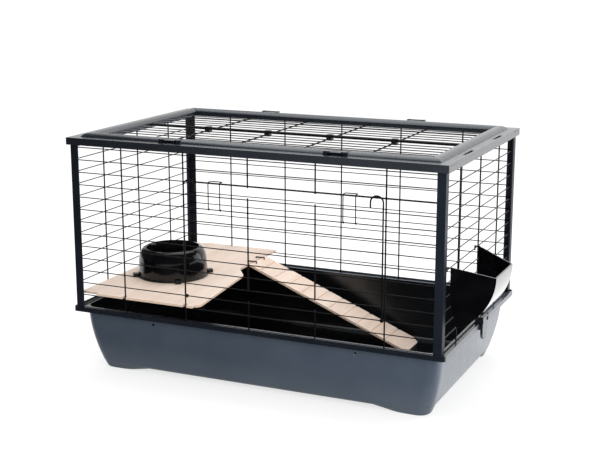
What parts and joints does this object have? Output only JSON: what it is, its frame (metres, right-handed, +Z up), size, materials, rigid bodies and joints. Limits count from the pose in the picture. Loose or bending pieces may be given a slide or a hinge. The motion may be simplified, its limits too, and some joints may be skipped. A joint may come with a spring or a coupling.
{
  "type": "small animal cage",
  "caption": "Wire cage on a moulded tray with a drop-down wire door, hinged wire roof, plywood platform and ramp, food bowl and outside hay rack.",
  "frame": {"origin": "on the floor under the middle of the tray", "axes": "+X to the right seen from the door side, +Y to the back, +Z up"},
  "size_m": [0.8798, 0.5, 0.498],
  "materials": {
    "tray_plastic": "satin moulded",
    "frame_plastic": "satin moulded",
    "fitting_plastic": "moulded",
    "black_wire": "coated",
    "steel": "plain",
    "plywood": "raw",
    "bowl_plastic": "gloss",
    "rack_plastic": "gloss"
  },
  "bodies": {
    "cage": {"base_tray": "tray_plastic", "base_clip_ears_left": "fitting_plastic", "base_clip_ears_right": "fitting_plastic", "base_clip_pin_left": "steel", "base_clip_pin_right": "steel", "post_front_left": "frame_plastic", "post_front_right": "frame_plastic", "post_rear_left": "frame_plastic", "post_rear_right": "frame_plastic", "top_rail_front": "frame_plastic", "top_rail_rear": "frame_plastic", "top_rail_left": "frame_plastic", "top_rail_right": "frame_plastic", "front_grille_above_door": "black_wire", "front_grille_below_door": "black_wire", "front_grille_left_of_door": "black_wire", "front_grille_right_of_door": "black_wire", "rear_grille": "black_wire", "end_grille_left": "black_wire", "end_grille_right": "black_wire", "roof_hinge_bracket_left": "fitting_plastic", "roof_hinge_bracket_right": "fitting_plastic", "roof_hinge_pin_left": "steel", "roof_hinge_pin_right": "steel", "platform": "plywood"},
    "roof": {"lid_rail_front": "frame_plastic", "lid_rail_rear": "frame_plastic", "lid_rail_left": "frame_plastic", "lid_rail_right": "frame_plastic", "lid_grille": "black_wire", "lid_stiffening_rod": "black_wire", "lid_rod_clips": "fitting_plastic", "roof_hinge_leaf_left": "fitting_plastic", "roof_hinge_leaf_right": "fitting_plastic"},
    "roof_latch_left": {"roof_latch_left": "fitting_plastic"},
    "roof_latch_right": {"roof_latch_right": "fitting_plastic"},
    "door": {"door_grille": "black_wire", "door_side_rod_left": "black_wire", "door_side_rod_right": "black_wire"},
    "door_latch_left": {"door_latch_left": "black_wire"},
    "door_latch_right": {"door_latch_right": "black_wire"},
    "base_clip_left": {"base_clip_left": "fitting_plastic"},
    "base_clip_right": {"base_clip_right": "fitting_plastic"},
    "ramp": {"ramp_board": "plywood", "ramp_hooks": "black_wire"},
    "bowl": {"bowl": "bowl_plastic"},
    "hay_rack": {"hay_rack": "rack_plastic"}
  },
  "joints": [
    {"name": "roof_hinge", "type": "hinge", "parent": "cage", "child": "roof", "pos_m": [0, 0.238, 0.4955], "axis": [-1, 0, 0], "range_deg": [0, 100]},
    {"name": "roof_latch_left_turn", "type": "hinge", "parent": "roof", "child": "roof_latch_left", "pos_m": [-0.175, -0.2195, 0.4945], "axis": [-1, 0, 0], "range_deg": [0, 35]},
    {"name": "roof_latch_right_turn", "type": "hinge", "parent": "roof", "child": "roof_latch_right", "pos_m": [0.175, -0.2195, 0.4945], "axis": [-1, 0, 0], "range_deg": [0, 35]},
    {"name": "door_hinge", "type": "hinge", "parent": "cage", "child": "door", "pos_m": [0.07, -0.2397, 0.1894], "axis": [1, 0, 0], "range_deg": [0, 130]},
    {"name": "door_latch_left_turn", "type": "hinge", "parent": "door", "child": "door_latch_left", "pos_m": [-0.07, -0.2397, 0.3686], "axis": [1, 0, 0], "range_deg": [0, 35]},
    {"name": "door_latch_right_turn", "type": "hinge", "parent": "door", "child": "door_latch_right", "pos_m": [0.21, -0.2397, 0.3686], "axis": [1, 0, 0], "range_deg": [0, 35]},
    {"name": "base_clip_left_turn", "type": "hinge", "parent": "cage", "child": "base_clip_left", "pos_m": [-0.4045, 0, 0.146], "axis": [0, 1, 0], "range_deg": [0, 80]},
    {"name": "base_clip_right_turn", "type": "hinge", "parent": "cage", "child": "base_clip_right", "pos_m": [0.4045, 0, 0.146], "axis": [0, -1, 0], "range_deg": [0, 80]},
    {"name": "ramp_hinge", "type": "hinge", "parent": "cage", "child": "ramp", "pos_m": [-0.1771, 0.139, 0.17165], "axis": [0, -1, 0], "range_deg": [0, 25]},
    {"name": "bowl_lift", "type": "slide", "parent": "cage", "child": "bowl", "axis": [0, 0, 1], "range_m": [0, 0.12]},
    {"name": "hay_rack_lift", "type": "slide", "parent": "cage", "child": "hay_rack", "axis": [0, 0, 1], "range_m": [0, 0.016]}
  ]
}
